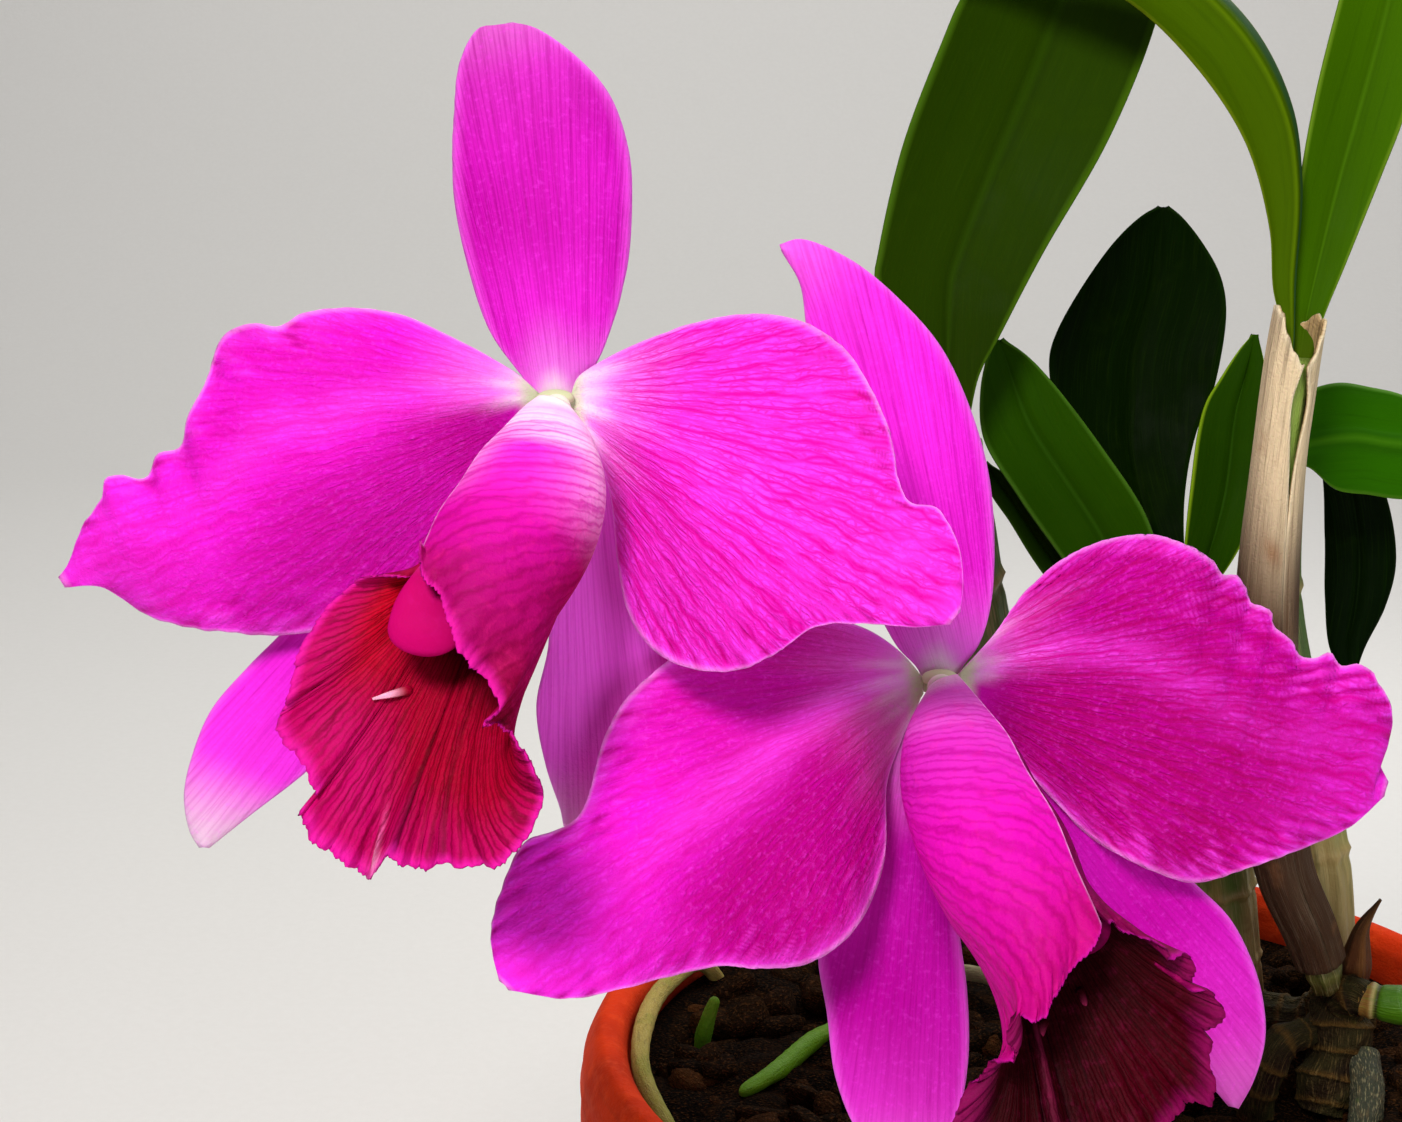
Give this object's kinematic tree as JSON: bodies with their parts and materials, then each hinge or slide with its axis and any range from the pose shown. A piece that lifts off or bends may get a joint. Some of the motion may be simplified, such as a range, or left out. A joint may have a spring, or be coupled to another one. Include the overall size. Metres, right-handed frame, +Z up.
{
  "type": "potted cattleya orchid",
  "caption": "Cattleya orchid with large magenta blooms on a forked stalk, crimson frilled lips, strap leaves and sheathed stems, in a terracotta pot filled with bark.",
  "frame": {"origin": "centre of the pot's foot, on the surface it stands on", "axes": "+Z up; the blooms look toward -Y; +X to the right as seen from the front"},
  "size_m": [0.2907, 0.2435, 0.4111],
  "materials": {
    "pot": "matte",
    "potting_medium": "matte",
    "rhizome": "matte",
    "wall_root": "matte",
    "green_root_tip": "satin",
    "green_root": "satin",
    "white_root": "matte",
    "old_root": "matte",
    "flowering_pseudobulb": "satin",
    "pseudobulb_b": "satin",
    "pseudobulb_c": "satin",
    "pseudobulb_d": "satin",
    "sheathed_pseudobulb": "satin",
    "papery_sheath": "matte",
    "young_shoot": "satin",
    "bud_scale": "matte",
    "flower_stalk": "satin",
    "left_lip": "matte",
    "right_lip": "matte",
    "left_column": "satin",
    "right_column": "satin",
    "left_dorsal_sepal": "matte",
    "left_petal_outer": "matte",
    "left_petal_inner": "matte",
    "left_sepal_outer": "matte",
    "left_sepal_inner": "matte",
    "right_dorsal_sepal": "matte",
    "right_petal_inner": "matte",
    "right_petal_outer": "matte",
    "right_sepal_inner": "matte",
    "right_sepal_outer": "matte",
    "leaf_tall": "satin",
    "leaf_arched": "satin",
    "leaf_upright": "satin",
    "leaf_dark": "satin",
    "leaf_leaning": "satin",
    "leaf_narrow": "satin",
    "leaf_bright": "satin",
    "leaf_drooping": "satin",
    "leaf_slim": "satin"
  },
  "bodies": {
    "root": {"pot": "pot", "potting_medium": "potting_medium", "rhizome": "rhizome", "wall_root": "wall_root", "green_root_tip": "green_root_tip", "green_root": "green_root", "white_root": "white_root", "old_root": "old_root", "flowering_pseudobulb": "flowering_pseudobulb", "pseudobulb_b": "pseudobulb_b", "pseudobulb_c": "pseudobulb_c", "pseudobulb_d": "pseudobulb_d", "sheathed_pseudobulb": "sheathed_pseudobulb", "papery_sheath": "papery_sheath", "young_shoot": "young_shoot", "bud_scale": "bud_scale", "flower_stalk": "flower_stalk", "left_lip": "left_lip", "right_lip": "right_lip", "left_column": "left_column", "right_column": "right_column", "left_dorsal_sepal": "left_dorsal_sepal", "left_petal_outer": "left_petal_outer", "left_petal_inner": "left_petal_inner", "left_sepal_outer": "left_sepal_outer", "left_sepal_inner": "left_sepal_inner", "right_dorsal_sepal": "right_dorsal_sepal", "right_petal_inner": "right_petal_inner", "right_petal_outer": "right_petal_outer", "right_sepal_inner": "right_sepal_inner", "right_sepal_outer": "right_sepal_outer", "leaf_tall": "leaf_tall", "leaf_arched": "leaf_arched", "leaf_upright": "leaf_upright", "leaf_dark": "leaf_dark", "leaf_leaning": "leaf_leaning", "leaf_narrow": "leaf_narrow", "leaf_bright": "leaf_bright", "leaf_drooping": "leaf_drooping", "leaf_slim": "leaf_slim"}
  },
  "joints": []
}
